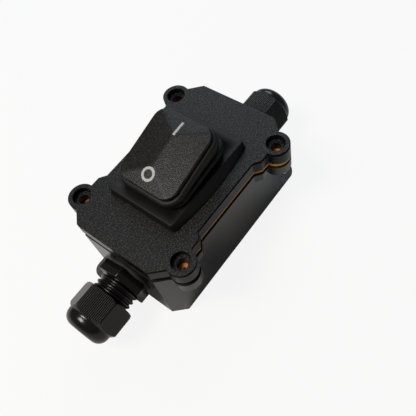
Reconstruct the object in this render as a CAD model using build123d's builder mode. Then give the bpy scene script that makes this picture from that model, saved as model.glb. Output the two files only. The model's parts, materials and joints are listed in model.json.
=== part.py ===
"""Weatherproof in-line rocker switch: a chamfered two-part box with a gasket, a rocker in a
rubber bellows boot on its lid, the rocker's contact works below, and a cable gland at each end.

Millimetres. The origin is the middle of the underside, +X runs along the cable towards the ON
end of the rocker, +Y is across and +Z is up. The rocker is modelled in its OFF position."""

import math
import os

from build123d import *

os.makedirs("parts", exist_ok=True)

# Box outline, seen from above
box_length = 74.0
box_width = 43.0
corner_run_x = 4.6  # chamfered corner, along the length
corner_run_y = 4.9  # and across the width
box_height = 38.5  # underside to lid top
wall = 2.4
floor_thickness = 2.4
bottom_round = 0.8

# Lid, gasket and the rim below them
lid_depth = 5.8
lid_plate = 2.5
edge_groove_below = 0.35  # fine groove in the lid's side, this far under its top face
edge_groove_height = 0.5
edge_groove_depth = 0.7
gasket_thickness = 1.15
shadow_gap = 1.2  # height of the dark gap under the gasket
shadow_depth = 1.3  # how far the seat stands in from the outline
flange_height = 3.6

# Screw ears and the thicker wall beside each of them
ear_spacing_x = 55.0
ear_spacing_y = 47.0
ear_radius = 5.3
ear_hole_radius = 1.9
ear_counterbore_radius = 3.5
ear_counterbore_depth = 2.4
gasket_hole_radius = 1.3
pilot_radius = 1.5
pilot_depth = 6.5
boss_depth = 8.2  # below the gasket, with its tapered end
boss_taper = 2.4
pad_start_x = 15.8
pad_full_x = 18.4
pad_reach = 2.1  # how far the thicker wall stands out

# Mounting feet at two opposite corners
foot_offset_x = 38.9
foot_radius = 4.1
foot_thickness = 2.5
foot_hole_radius = 2.0

# Rocker, in its own tilted frame with the pivot pin at the origin
off_tilt = 14.3  # degrees, ON end up
pivot_above_lid = 2.6
rim_height = 11.25  # pivot to the paddle's rim
paddle_length = 28.6
paddle_width = 24.4
paddle_corner = 4.6
paddle_edge = 1.3  # thickness at the rim
paddle_edge_round = 0.35
crown = 1.6  # ridge above the rim
ridge_inset = 7.9  # rim to the end of the ridge
ridge_round = 6.0  # soft blend over the ridge and hips
neck_inset = 1.3  # neck stands in from the paddle all round
neck_bottom = 7.5  # above the pivot
core_length = 15.0
core_bottom = -1.5
pin_radius = 1.45
pin_clearance = 0.05
tube_radius = 3.2
tube_bottom = -9.0
tube_bore = 1.8
tube_bore_top = 1.0
pole_spacing = 8.8  # between the two contact sets

# Spring plungers in the rocker
plunger_radius = 1.6
plunger_gap = 0.43  # nose to contact bar with the rocker level
plunger_top = -7.0
plunger_tip_round = 1.4
spring_wire = 0.5
spring_turns = 4
spring_side_gap = 0.15

# Switch housing
cutout_length = 30.0
cutout_width = 22.0
cutout_corner = 1.5
housing_clearance = 0.3
housing_wall = 1.7
housing_below_bars = 5.7  # underside, below the contact bars' pivots
housing_floor = 2.0
housing_flange_length = 34.0
housing_flange_width = 26.0
housing_flange_corner = 3.0
housing_flange_height = 2.0
bearing_radius = 2.6  # rounded top of each bearing cheek
bearing_foot = 4.5  # half its width at the foot
side_clearance = 0.3  # rocker core to bearing cheek
snap_height = 2.0
snap_reach = 1.0
snap_width = 8.0

# Contacts
bar_pivot_height = 27.2
bar_length = 19.2
bar_width = 4.0
bar_thickness = 1.0
bar_wing_angle = 12.1
bar_rock = 5.0  # tilts this much each way
contact_radius = 1.5
contact_height = 0.6
contact_offset = 8.1  # from the bar's pivot, along the wing
contact_gap = 0.2  # left when closed
bead_radius = 0.3  # round pivot under each bar
bead_clearance = 0.05
blade_width = 6.3
blade_thickness = 0.8
blade_reach = 8.0  # blade ends below the housing
blade_hole_radius = 0.9
blade_hole_above_end = 3.0
blade_slot_clearance = 0.05
end_blade_x = -10.5
shelf_length = 4.6

# Rubber boot
boot_length = 41.6
boot_width = 32.0
boot_bulge = 0.4  # the long sides bow out this much
boot_corner = 1.3
boot_height = 3.5
boot_edge = 0.7  # bevel round the top
boot_fit = 0.15
lip_gap = 0.5  # dark gap under the paddle's edge
lip_height = 3.2
lip_reach = 1.5  # lip beyond the paddle
lip_bevel = 0.9
lip_clearance = 0.4
bellows_wall = 1.3
fold_height = 2.2
fold_bevel = 0.7

# Cable glands, along their own axis and measured outwards from the end wall
gland_height = 15.7
entry_radius = 7.6
entry_clearance = 0.1
washer_radius = 9.0
washer_thickness = 1.0
gland_hex_flats = 18.4
gland_hex_length = 4.3
gland_hex_turn = 20.8
gland_bevel = 0.4
gland_front = 18.0
gland_bore = 4.6
gland_thread_radius = 7.9
thread_pitch = 2.0
mouth_radius = 6.9
mouth_start = 8.6
nut_thread_clearance = 0.15
nut_start = 11.4
nut_shoulder = 22.1
nut_end = 27.0
nut_flats = 18.9
nut_corner = 1.3
nut_nose_radius = 9.05
nut_nose_round = 4.2
nut_shoulder_run = 1.6
nut_cone_start = 22.7
nut_cone_end = 25.6
nut_mouth_radius = 4.7
rib_pitch = 0.68
rib_count = 14
rib_cut = 0.42
ribbed_faces = 3
locknut_flats = 19.0
locknut_thickness = 4.6
thread_past_locknut = 1.4
locknut_clearance = 0.05
claw_start = 13.5
claw_ring_end = 15.9
claw_taper_start = 21.7
claw_tip = 23.1
claw_radius = 6.5
claw_tip_radius = 6.1
claw_count = 8
claw_slot = 1.0
seal_radius = 5.5
seal_bore = 4.0
seal_start = 14.1
seal_end = 22.3
claw_seal_gap = 0.05

# How the two dome nuts were left: turns screwed in from the loose end of their travel, and the
# angle that this leaves their corners at
near_nut_turns = 0.0
near_nut_angle = 46.5
far_nut_turns = 1.75
far_nut_angle = 58.4

# Heights that follow
lid_top = box_height
housing_bottom = bar_pivot_height - housing_below_bars
housing_depth = lid_top - housing_bottom
blade_end_height = housing_bottom - blade_reach
seam = lid_top - lid_depth
seat = seam - gasket_thickness
rim_top = seat - shadow_gap
flange_bottom = rim_top - flange_height
pivot_height = lid_top + pivot_above_lid
half_length = box_length / 2
half_width = box_width / 2
foot_offset_y = half_width - foot_radius

# The rocker's frame leans with it; the bars lean the other way round on their own pivots
tilt = math.radians(off_tilt)
rocker_plane = Plane(
    origin=(0, 0, pivot_height),
    x_dir=(math.cos(tilt), 0, math.sin(tilt)),
    z_dir=(-math.sin(tilt), 0, math.cos(tilt)),
)
rocker_axis = Axis(rocker_plane.origin, rocker_plane.z_dir)


def save(part, label):
    """Names a finished piece and writes it."""
    part.label = label
    export_step(part, f"parts/{label}.step")


def chamfered_box(plane, inset=0.0):
    """The box's plain outline, a rectangle with chamfered corners."""
    with BuildSketch(plane) as shape:
        with BuildLine():
            Polyline(
                (half_length, half_width - corner_run_y),
                (half_length - corner_run_x, half_width),
                (corner_run_x - half_length, half_width),
                (-half_length, half_width - corner_run_y),
                (-half_length, corner_run_y - half_width),
                (corner_run_x - half_length, -half_width),
                (half_length - corner_run_x, -half_width),
                (half_length, corner_run_y - half_width),
                close=True,
            )
        make_face()
        if inset:
            offset(amount=-inset, kind=Kind.INTERSECTION)
    return shape.sketch


def case_outline(plane, inset=0.0):
    """The lid's outline: the box with four round ears and a thicker wall beside each ear."""
    with BuildSketch(plane) as shape:
        with BuildLine():
            Polyline(
                (pad_start_x, half_width - pad_reach),
                (pad_start_x, half_width),
                (pad_full_x, half_width + pad_reach),
                (ear_spacing_x / 2, half_width + pad_reach),
                (ear_spacing_x / 2, half_width - pad_reach),
                close=True,
            )
        make_face()
        mirror(about=Plane.YZ)
        mirror(about=Plane.XZ)
        add(chamfered_box(Plane.XY))
        with GridLocations(ear_spacing_x, ear_spacing_y, 2, 2):
            Circle(ear_radius)
        if inset:
            offset(amount=-inset)
    return shape.sketch


def outline_band(plane, width):
    """A band of the given width just inside the lid's outline."""
    with BuildSketch(plane) as band:
        add(case_outline(Plane.XY))
        add(case_outline(Plane.XY, inset=width), mode=Mode.SUBTRACT)
    return band.sketch


# Lid
with BuildPart() as lid:
    extrude(case_outline(Plane.XY.offset(seam)), amount=lid_depth)
    groove_plane = Plane.XY.offset(lid_top - edge_groove_below)
    extrude(outline_band(groove_plane, edge_groove_depth), amount=-edge_groove_height, mode=Mode.SUBTRACT)
    cavity = chamfered_box(Plane.XY.offset(seam), inset=wall)
    extrude(cavity, amount=lid_depth - lid_plate, mode=Mode.SUBTRACT)
    with BuildSketch(Plane.XY.offset(lid_top)):
        RectangleRounded(cutout_length, cutout_width, cutout_corner)
    extrude(amount=-lid_depth, mode=Mode.SUBTRACT)
    with Locations(Plane.XY.offset(lid_top)):
        with GridLocations(ear_spacing_x, ear_spacing_y, 2, 2):
            CounterBoreHole(ear_hole_radius, ear_counterbore_radius, ear_counterbore_depth)
save(lid.part, "lid")

# Gasket, cut flush with the outline and pierced small at the ears
with BuildPart() as gasket:
    extrude(case_outline(Plane.XY.offset(seat)), amount=gasket_thickness)
    extrude(chamfered_box(Plane.XY.offset(seat), inset=wall), amount=gasket_thickness, mode=Mode.SUBTRACT)
    with Locations(Plane.XY.offset(seam)):
        with GridLocations(ear_spacing_x, ear_spacing_y, 2, 2):
            Hole(gasket_hole_radius)
save(gasket.part, "gasket")


def end_plane(side):
    """Workplane of one gland: on the end wall, facing outwards, with its x axis across the box."""
    return Plane(origin=(side * half_length, 0, gland_height), x_dir=(0, side, 0), z_dir=(side, 0, 0))


# Base box
with BuildPart() as base_box:
    extrude(chamfered_box(Plane.XY), amount=rim_top)
    with BuildSketch(Plane.XY):
        with PolarLocations(0, 2):
            with Locations((foot_offset_x, -foot_offset_y)):
                Circle(foot_radius)
            with Locations((foot_offset_x - foot_radius, -foot_offset_y)):
                Rectangle(2 * foot_radius, 2 * foot_radius)
    extrude(amount=foot_thickness)
    fillet(base_box.faces().sort_by(Axis.Z)[0].outer_wire().edges(), radius=bottom_round)
    extrude(case_outline(Plane.XY.offset(flange_bottom)), amount=flange_height)
    with BuildSketch(Plane.XY.offset(seat - boss_depth)):
        with GridLocations(ear_spacing_x, ear_spacing_y, 2, 2):
            Circle(ear_radius - boss_taper)
    with BuildSketch(Plane.XY.offset(seat - boss_depth + boss_taper)):
        with GridLocations(ear_spacing_x, ear_spacing_y, 2, 2):
            Circle(ear_radius)
    boss_ends, boss_tops = base_box.pending_faces[:4], base_box.pending_faces[4:]
    base_box.pending_faces = []
    for lower, upper in zip(boss_ends, boss_tops):
        loft([lower, upper])
        extrude(upper, amount=boss_depth - boss_taper - shadow_gap)
    extrude(case_outline(Plane.XY.offset(rim_top), inset=shadow_depth), amount=shadow_gap)
    extrude(
        chamfered_box(Plane.XY.offset(floor_thickness), inset=wall),
        amount=seat - floor_thickness,
        mode=Mode.SUBTRACT,
    )
    with Locations(Plane.XY.offset(seat)):
        with GridLocations(ear_spacing_x, ear_spacing_y, 2, 2):
            Hole(pilot_radius, depth=pilot_depth)
    with Locations(Plane.XY.offset(foot_thickness)):
        with PolarLocations(0, 2):
            with Locations((foot_offset_x, -foot_offset_y)):
                Hole(foot_hole_radius)
    with Locations(end_plane(1), end_plane(-1)):
        Hole(entry_radius + entry_clearance, depth=2 * wall)
save(base_box.part, "base_box")

# Switch housing, dropped into the lid's cutout from above and held by its flange and two snaps
housing_length = cutout_length - 2 * housing_clearance
housing_width = cutout_width - 2 * housing_clearance
cheek_outer = housing_width / 2
cheek_inner = cheek_outer - housing_wall
flange_top = lid_top + housing_flange_height
snap_top = lid_top - lid_plate
pole_places = [(0, -pole_spacing / 2), (0, pole_spacing / 2)]

with BuildPart() as switch_housing:
    with BuildSketch(Plane.XY.offset(lid_top)):
        RectangleRounded(housing_flange_length, housing_flange_width, housing_flange_corner)
    extrude(amount=housing_flange_height)
    with BuildSketch(Plane.XY.offset(housing_bottom)):
        RectangleRounded(housing_length, housing_width, cutout_corner - housing_clearance)
    extrude(amount=housing_depth)
    with BuildSketch(Plane.XZ.offset(cheek_outer)) as cheek:
        with Locations((0, pivot_height)):
            Circle(bearing_radius)
        with BuildLine():
            Polyline(
                (-bearing_foot, flange_top),
                (-bearing_radius, pivot_height),
                (bearing_radius, pivot_height),
                (bearing_foot, flange_top),
                close=True,
            )
        make_face()
    extrude(amount=-housing_wall)
    extrude(cheek.sketch.moved(Location((0, 2 * cheek_outer, 0))), amount=housing_wall)
    with BuildSketch(Plane.XY.offset(housing_bottom + housing_floor)):
        Rectangle(housing_length - 2 * housing_wall, 2 * cheek_inner)
    extrude(amount=housing_depth + housing_flange_height, mode=Mode.SUBTRACT)
    with BuildSketch(Plane.XZ):
        with Locations((0, pivot_height)):
            Circle(pin_radius + pin_clearance)
    extrude(amount=cheek_outer, both=True, mode=Mode.SUBTRACT)
    with BuildSketch(Plane.XZ):
        with BuildLine():
            Polyline(
                (housing_length / 2, snap_top),
                (housing_length / 2 + snap_reach, snap_top),
                (housing_length / 2, snap_top - snap_height),
                close=True,
            )
        make_face()
        mirror(about=Plane.YZ)
    extrude(amount=snap_width / 2, both=True)
    with BuildSketch(Plane.XY.offset(housing_bottom)):
        with Locations(*pole_places):
            for blade_x in (end_blade_x, 0):
                with Locations((blade_x, 0)):
                    Rectangle(
                        blade_thickness + 2 * blade_slot_clearance,
                        blade_width + 2 * blade_slot_clearance,
                    )
    extrude(amount=housing_floor, mode=Mode.SUBTRACT)
save(switch_housing.part, "switch_housing")


def roof_plane(edge_x, edge_y, run):
    """One slope of the paddle's crown: through the rim at this edge, rising to the ridge over run."""
    facing = Vector(edge_x, edge_y, 0).normalized() * (crown / run)
    slope = Plane(origin=(edge_x, edge_y, rim_height), z_dir=(facing.X, facing.Y, 1))
    return Plane(rocker_plane.location * slope.location)


at_rim = 0.9  # an edge whose share is above this belongs to the rim


def rim_share(edge):
    """How near an edge's middle is to the paddle's rim: 0 at the centre and 1 at the rim."""
    middle = rocker_plane.to_local_coords(edge.center())
    return max(abs(middle.X) / (paddle_length / 2), abs(middle.Y) / (paddle_width / 2))


def on_crown(edge):
    """Whether an edge's middle is at or above the top of the rim."""
    return rocker_plane.to_local_coords(edge.center()).Z > rim_height - paddle_edge / 2


# Rocker: paddle with a hipped crown, neck, core with two pivot pins and two plunger tubes
neck_length = paddle_length - 2 * neck_inset
neck_width = paddle_width - 2 * neck_inset
neck_corner = paddle_corner - neck_inset
core_width = 2 * (cheek_inner - side_clearance)
paddle_bottom = rim_height - paddle_edge

with BuildPart() as rocker:
    with BuildSketch(rocker_plane.offset(paddle_bottom)):
        RectangleRounded(paddle_length, paddle_width, paddle_corner)
    extrude(amount=paddle_edge + crown)
    for side in (1, -1):
        split(bisect_by=roof_plane(side * paddle_length / 2, 0, ridge_inset), keep=Keep.BOTTOM)
        split(bisect_by=roof_plane(0, side * paddle_width / 2, paddle_width / 2), keep=Keep.BOTTOM)
    ridges = rocker.edges().filter_by(lambda edge: on_crown(edge) and rim_share(edge) < at_rim)
    fillet(ridges, radius=ridge_round)
    rim = rocker.edges().filter_by(lambda edge: on_crown(edge) and rim_share(edge) > at_rim)
    fillet(rim, radius=paddle_edge_round)
    with BuildSketch(rocker_plane.offset(neck_bottom)):
        RectangleRounded(neck_length, neck_width, neck_corner)
    extrude(amount=paddle_bottom - neck_bottom)
    with BuildSketch(rocker_plane.offset(core_bottom)):
        Rectangle(core_length, core_width)
    extrude(amount=neck_bottom - core_bottom)
    with BuildSketch(Plane.XZ):
        with Locations((0, pivot_height)):
            Circle(pin_radius)
    extrude(amount=cheek_outer, both=True)
    with BuildSketch(rocker_plane.offset(tube_bottom)):
        with Locations(*pole_places):
            Circle(tube_radius)
    extrude(amount=core_bottom - tube_bottom)
    with BuildSketch(rocker_plane.offset(tube_bottom)):
        with Locations(*pole_places):
            Circle(tube_bore)
    extrude(amount=tube_bore_top - tube_bottom, mode=Mode.SUBTRACT)
save(rocker.part, "rocker")


wing = math.radians(bar_wing_angle)
bar_rise = bar_thickness / math.cos(wing)  # thickness measured upwards
plunger_tip = bar_pivot_height + bar_rise + plunger_gap - pivot_height


def make_plunger(place):
    """Round-nosed plunger that stands in one of the rocker's tubes."""
    with BuildPart() as plunger:
        with BuildSketch(rocker_plane.offset(plunger_tip)):
            with Locations(place):
                Circle(plunger_radius)
        extrude(amount=plunger_top - plunger_tip)
        tip_edge = plunger.edges().sort_by(rocker_axis)[0]
        fillet(tip_edge, radius=plunger_tip_round)
    return plunger.part


def make_spring(place):
    """Coil spring between a plunger and the closed end of its tube."""
    length = tube_bore_top - plunger_top - spring_wire
    coil_radius = tube_bore - spring_side_gap - spring_wire / 2
    foot = rocker_plane.offset(plunger_top + spring_wire / 2)
    centre = foot.from_local_coords((*place, 0))
    with BuildPart() as spring:
        with BuildLine() as coil:
            Helix(length / spring_turns, length, coil_radius, center=centre, direction=foot.z_dir)
        with BuildSketch(Plane(origin=coil.line @ 0, z_dir=coil.line % 0)):
            Rectangle(spring_wire, spring_wire)
        sweep()
    return spring.part


def bar_plane(place):
    """Frame of a contact bar: its x axis runs along the rocked bar, its origin is the pivot line."""
    rock = math.radians(bar_rock)
    return Plane(
        origin=(place[0], place[1], bar_pivot_height),
        x_dir=(math.cos(rock), 0, -math.sin(rock)),
        z_dir=(0, -1, 0),
    )


def make_contact_bar(place):
    """See-saw bar with two raised wings and a round bead to rock on."""
    reach_x = bar_length / 2 * math.cos(wing)
    reach_z = bar_length / 2 * math.sin(wing)
    with BuildPart() as bar:
        with BuildSketch(bar_plane(place)):
            with BuildLine():
                Polyline(
                    (0, 0),
                    (reach_x, reach_z),
                    (reach_x, reach_z + bar_rise),
                    (0, bar_rise),
                    (-reach_x, reach_z + bar_rise),
                    (-reach_x, reach_z),
                    close=True,
                )
            make_face()
            Circle(bead_radius)
        extrude(amount=bar_width / 2, both=True)
    return bar.part


def make_moving_contact(place):
    """Rivet head under the wing that closes the circuit."""
    frame = bar_plane(place)
    seat_x = -contact_offset * math.cos(wing)
    seat_y = contact_offset * math.sin(wing)
    under_wing = Plane(
        origin=frame.from_local_coords((seat_x, seat_y, 0)),
        z_dir=-frame.x_dir * math.sin(wing) - frame.y_dir * math.cos(wing),
    )
    with BuildPart() as contact:
        with BuildSketch(under_wing):
            Circle(contact_radius)
        extrude(amount=contact_height)
    return contact.part


# Where the moving contact comes to rest once the bar has rocked over
closed_angle = math.radians(bar_wing_angle - bar_rock)
closed_contact_x = -contact_offset * math.cos(closed_angle)
closed_contact_height = (
    bar_pivot_height
    + contact_offset * math.sin(closed_angle)
    - contact_height * math.cos(closed_angle)
    - contact_radius * math.sin(closed_angle)
)
shelf_top = closed_contact_height - contact_gap - contact_height


def make_fixed_contact(place):
    """Rivet head on the end terminal's shelf."""
    with BuildPart() as contact:
        with BuildSketch(Plane.XY.offset(shelf_top)):
            with Locations((place[0] + closed_contact_x, place[1])):
                Circle(contact_radius)
        extrude(amount=contact_height)
    return contact.part


def make_terminal(place, blade_x, top, shelf=0.0):
    """Flat blade through the housing's floor, with a shelf for the fixed contact if it has one."""
    with BuildPart() as terminal:
        with BuildSketch(Plane.XY.offset(blade_end_height)):
            with Locations((place[0] + blade_x, place[1])):
                Rectangle(blade_thickness, blade_width)
        extrude(amount=top - blade_end_height)
        if shelf:
            with BuildSketch(Plane.XY.offset(top - blade_thickness)):
                with Locations((place[0] + blade_x + shelf / 2, place[1])):
                    Rectangle(shelf, bar_width)
            extrude(amount=blade_thickness)
        hole_plane = Plane(
            origin=(blade_x + blade_thickness, place[1], blade_end_height + blade_hole_above_end),
            z_dir=(1, 0, 0),
        )
        with Locations(hole_plane):
            Hole(blade_hole_radius)
        with BuildSketch(bar_plane(place)):
            Circle(bead_radius + bead_clearance)
        extrude(amount=blade_width / 2, both=True, mode=Mode.SUBTRACT)
    return terminal.part


for pole, place in zip(("right", "left"), pole_places):
    save(make_plunger(place), f"plunger_{pole}")
    save(make_spring(place), f"plunger_spring_{pole}")
    save(make_contact_bar(place), f"contact_bar_{pole}")
    save(make_moving_contact(place), f"moving_contact_{pole}")
    save(make_fixed_contact(place), f"fixed_contact_{pole}")
    save(make_terminal(place, 0, bar_pivot_height), f"centre_terminal_{pole}")
    save(make_terminal(place, end_blade_x, shelf_top, shelf_length), f"end_terminal_{pole}")

# Rubber boot: base frame over the housing's flange, bellows, one fold and a lip round the neck
lip_top = paddle_bottom - lip_gap
lip_bottom = lip_top - lip_height
void_length = neck_length + 2 * lip_clearance
void_width = neck_width + 2 * lip_clearance
void_corner = neck_corner + lip_clearance
lip_inset = (paddle_length - void_length) / 2 + lip_reach
boot_top = lid_top + boot_height
half_tilt = tilt / 2
fold_plane = Plane(
    origin=(Vector(0, 0, boot_top) + rocker_plane.offset(lip_bottom).origin) / 2,
    x_dir=(math.cos(half_tilt), 0, math.sin(half_tilt)),
    z_dir=(-math.sin(half_tilt), 0, math.cos(half_tilt)),
)


def boot_section(plane, reach):
    """Rounded rectangle that stands out from the boot's inner space by reach."""
    with BuildSketch(plane) as section:
        RectangleRounded(void_length + 2 * reach, void_width + 2 * reach, void_corner + reach)
    return section.sketch


def boot_ring(plane, height, bevel):
    """One bulging ring of the boot, from the plane up, with its outer edges bevelled."""
    with BuildPart() as ring:
        extrude(boot_section(plane, lip_inset), amount=height)
        ends = ring.faces().sort_by(Axis(plane.origin, plane.z_dir))
        chamfer(ends[0].edges() + ends[-1].edges(), length=bevel)
    return ring.part


with BuildPart() as rubber_boot:
    with BuildSketch(Plane.XY.offset(lid_top)):
        with BuildLine():
            far_side = ThreePointArc(
                (boot_length / 2, boot_width / 2),
                (0, boot_width / 2 + boot_bulge),
                (-boot_length / 2, boot_width / 2),
            )
            near_side = ThreePointArc(
                (-boot_length / 2, -boot_width / 2),
                (0, -boot_width / 2 - boot_bulge),
                (boot_length / 2, -boot_width / 2),
            )
            Line(far_side @ 1, near_side @ 0)
            Line(near_side @ 1, far_side @ 0)
        make_face()
    extrude(amount=boot_height)
    fillet(rubber_boot.edges().filter_by(Axis.Z), radius=boot_corner)
    chamfer(rubber_boot.faces().sort_by(Axis.Z)[-1].outer_wire().edges(), length=boot_edge)
    add(boot_ring(rocker_plane.offset(lip_bottom), lip_height, lip_bevel))
    add(boot_ring(fold_plane.offset(-fold_height / 2), fold_height, fold_bevel))
    loft(
        [
            boot_section(Plane.XY.offset(boot_top - boot_edge), bellows_wall),
            boot_section(rocker_plane.offset(lip_bottom + lip_bevel), bellows_wall),
        ],
        ruled=True,
    )
    loft(
        [
            boot_section(Plane.XY.offset(lid_top), 0),
            boot_section(rocker_plane.offset(paddle_bottom), 0),
        ],
        ruled=True,
        mode=Mode.SUBTRACT,
    )
    with BuildSketch(Plane.XY.offset(lid_top)):
        RectangleRounded(
            housing_flange_length + 2 * boot_fit,
            housing_flange_width + 2 * boot_fit,
            housing_flange_corner + boot_fit,
        )
    extrude(amount=housing_flange_height, mode=Mode.SUBTRACT)
save(rubber_boot.part, "rubber_boot")


def turned(plane, points):
    """Solid turned about a gland's axis from (distance from the wall, radius) points."""
    profile_plane = Plane(origin=plane.origin, x_dir=plane.z_dir, z_dir=plane.x_dir)
    with BuildPart() as solid:
        with BuildSketch(profile_plane):
            with BuildLine():
                Polyline(*points, close=True)
            make_face()
        revolve(axis=Axis(plane.origin, plane.z_dir))
    return solid.part


def make_gland_body(plane):
    """Hex body with the entry thread through the wall and the nut's thread and mouth outside."""
    with BuildPart() as body:
        with BuildSketch(plane.offset(washer_thickness)):
            RegularPolygon(gland_hex_flats / 2, 6, major_radius=False, rotation=gland_hex_turn)
        extrude(amount=gland_hex_length)
        chamfer(body.faces().filter_by(Axis.X).edges(), length=gland_bevel)
        inner_end = -wall - locknut_thickness - thread_past_locknut
        add(turned(plane, [
            (inner_end, 0),
            (inner_end, entry_radius - gland_bevel),
            (inner_end + gland_bevel, entry_radius),
            (washer_thickness, entry_radius),
            (washer_thickness, gland_thread_radius),
            (gland_front - gland_bevel, gland_thread_radius),
            (gland_front, gland_thread_radius - gland_bevel),
            (gland_front, 0),
        ]))
        add(turned(plane, [
            (inner_end, 0),
            (inner_end, gland_bore),
            (mouth_start, gland_bore),
            (mouth_start, mouth_radius),
            (gland_front, mouth_radius),
            (gland_front, 0),
        ]), mode=Mode.SUBTRACT)
    return body.part


def make_washer(plane):
    """Flat sealing washer between the gland's hexagon and the wall."""
    with BuildPart() as washer:
        with BuildSketch(plane):
            Circle(washer_radius)
            Circle(entry_radius + entry_clearance, mode=Mode.SUBTRACT)
        extrude(amount=washer_thickness)
    return washer.part


def make_locknut(plane):
    """Hexagonal nut inside the box."""
    with BuildPart() as locknut:
        with BuildSketch(plane.offset(-wall)):
            RegularPolygon(locknut_flats / 2, 6, major_radius=False)
            Circle(entry_radius + locknut_clearance, mode=Mode.SUBTRACT)
        extrude(amount=-locknut_thickness)
    return locknut.part


def make_claw(plane):
    """Clamping cage: a ring with spring fingers that the dome nut closes on the seal."""
    with BuildPart() as claw:
        add(turned(plane, [
            (claw_start, seal_radius + claw_seal_gap),
            (claw_start, claw_radius),
            (claw_taper_start, claw_radius),
            (claw_tip, claw_tip_radius),
            (claw_tip, seal_radius + claw_seal_gap),
        ]))
        with BuildSketch(plane.offset(claw_ring_end)):
            with PolarLocations(claw_radius, claw_count):
                Rectangle(claw_radius, claw_slot)
        extrude(amount=claw_tip, mode=Mode.SUBTRACT)
    return claw.part


def make_seal(plane):
    """Soft bushing that closes round the cable."""
    return turned(plane, [
        (seal_start, seal_bore),
        (seal_start, seal_radius),
        (seal_end, seal_radius),
        (seal_end, seal_bore),
    ])


face_middle = 30  # degrees from a hexagon's corner to the middle of its side
nut_bore = gland_thread_radius + nut_thread_clearance


def make_dome_nut(plane, turn):
    """Dome nut: a hexagon with ribs on every other face that runs out into a round nose."""
    shoulder_start = nut_shoulder - nut_shoulder_run
    with BuildPart() as nut:
        with BuildSketch(plane.offset(nut_start)) as section:
            RegularPolygon(nut_flats / 2, 6, major_radius=False, rotation=turn)
            fillet(section.vertices(), radius=nut_corner)
        extrude(amount=nut_end - nut_start)
        corner_radius = nut_flats / 2 / math.cos(math.pi / 6)
        with BuildSketch(Plane(origin=plane.origin, x_dir=plane.z_dir, z_dir=plane.x_dir)):
            with BuildLine():
                start = (nut_start, corner_radius - nut_corner)
                Line((nut_start, 0), start)
                Line(start, (nut_start + nut_corner, corner_radius))
                Line((nut_start + nut_corner, corner_radius), (shoulder_start, corner_radius))
                Line((shoulder_start, corner_radius), (nut_shoulder, nut_nose_radius))
                Line((nut_shoulder, nut_nose_radius), (nut_end - nut_nose_round, nut_nose_radius))
                RadiusArc(
                    (nut_end - nut_nose_round, nut_nose_radius),
                    (nut_end, nut_nose_radius - nut_nose_round),
                    nut_nose_round,
                )
                Line((nut_end, nut_nose_radius - nut_nose_round), (nut_end, 0))
                Line((nut_end, 0), (nut_start, 0))
            make_face()
        revolve(axis=Axis(plane.origin, plane.z_dir), mode=Mode.INTERSECT)
        with BuildSketch(plane.offset(nut_start)):
            with PolarLocations(nut_flats / 2, ribbed_faces, start_angle=turn + face_middle):
                with GridLocations(rib_pitch, rib_pitch, 1, rib_count):
                    Rectangle(rib_cut, rib_cut, rotation=45)
        extrude(amount=shoulder_start - nut_start, mode=Mode.SUBTRACT)
        add(turned(plane, [
            (nut_start, 0),
            (nut_start, nut_bore),
            (nut_cone_start, nut_bore),
            (nut_cone_end, nut_mouth_radius),
            (nut_end, nut_mouth_radius),
            (nut_end, 0),
        ]), mode=Mode.SUBTRACT)
    return nut.part


for end, side, nut_turns, nut_angle in (
    ("far", 1, far_nut_turns, far_nut_angle),
    ("near", -1, near_nut_turns, near_nut_angle),
):
    wall_plane = end_plane(side)
    nut_plane = wall_plane.offset(-nut_turns * thread_pitch)
    save(make_gland_body(wall_plane), f"gland_body_{end}")
    save(make_washer(wall_plane), f"gland_washer_{end}")
    save(make_locknut(wall_plane), f"gland_locknut_{end}")
    save(make_claw(nut_plane), f"gland_claw_{end}")
    save(make_seal(nut_plane), f"gland_seal_{end}")
    save(make_dome_nut(nut_plane, nut_angle), f"gland_dome_nut_{end}")
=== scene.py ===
"""Looks of the weatherproof in-line rocker switch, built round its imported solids.

Lengths and places in the named values are in millimetres and become metres through MM, except those of the
camera and the lamps, which are in metres. Angles are in degrees, noise scales in features per metre and
bump heights in metres."""

import json
import math

import bmesh
import bpy
from mathutils import Matrix, Vector


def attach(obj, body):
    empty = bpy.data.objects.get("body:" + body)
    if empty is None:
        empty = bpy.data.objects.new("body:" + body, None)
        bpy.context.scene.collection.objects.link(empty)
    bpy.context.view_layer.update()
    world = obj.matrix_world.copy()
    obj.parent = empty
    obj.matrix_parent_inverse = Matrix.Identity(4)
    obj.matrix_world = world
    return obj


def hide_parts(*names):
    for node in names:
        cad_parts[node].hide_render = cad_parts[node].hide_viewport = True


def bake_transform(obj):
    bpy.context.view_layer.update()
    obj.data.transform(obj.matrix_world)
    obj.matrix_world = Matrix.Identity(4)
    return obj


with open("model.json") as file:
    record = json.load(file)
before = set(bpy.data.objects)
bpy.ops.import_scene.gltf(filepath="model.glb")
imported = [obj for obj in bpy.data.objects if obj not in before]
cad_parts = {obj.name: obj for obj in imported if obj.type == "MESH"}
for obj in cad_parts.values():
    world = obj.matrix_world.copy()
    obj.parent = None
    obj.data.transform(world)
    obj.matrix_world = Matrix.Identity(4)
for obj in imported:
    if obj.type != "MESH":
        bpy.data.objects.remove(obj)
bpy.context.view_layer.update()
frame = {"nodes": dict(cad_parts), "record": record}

MM = 0.001
WELD_DISTANCE = 1e-6  # in metres

# Rocker, in its own leaning frame with the pivot pin at the origin
PIVOT_HEIGHT = 41.1
OFF_TILT = 14.3
RIM_HEIGHT = 11.25
PADDLE_LENGTH = 28.6
PADDLE_WIDTH = 24.4
PADDLE_CORNER = 4.6
PADDLE_EDGE = 1.3
CROWN = 1.6
RIDGE_INSET = 7.9
RIDGE_BLEND = 0.2

# Marks printed on the paddle
MARK_LIFT = 0.03
RING_CENTRE_X = -9.15
RING_OUTER = 2.6
RING_INNER = 1.62
RING_AROUND = 72
RING_ACROSS = 4
BAR_START_X = 6.4
BAR_END_X = 12.0
BAR_HALF_WIDTH = 0.48
BAR_STEPS = 16

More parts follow.
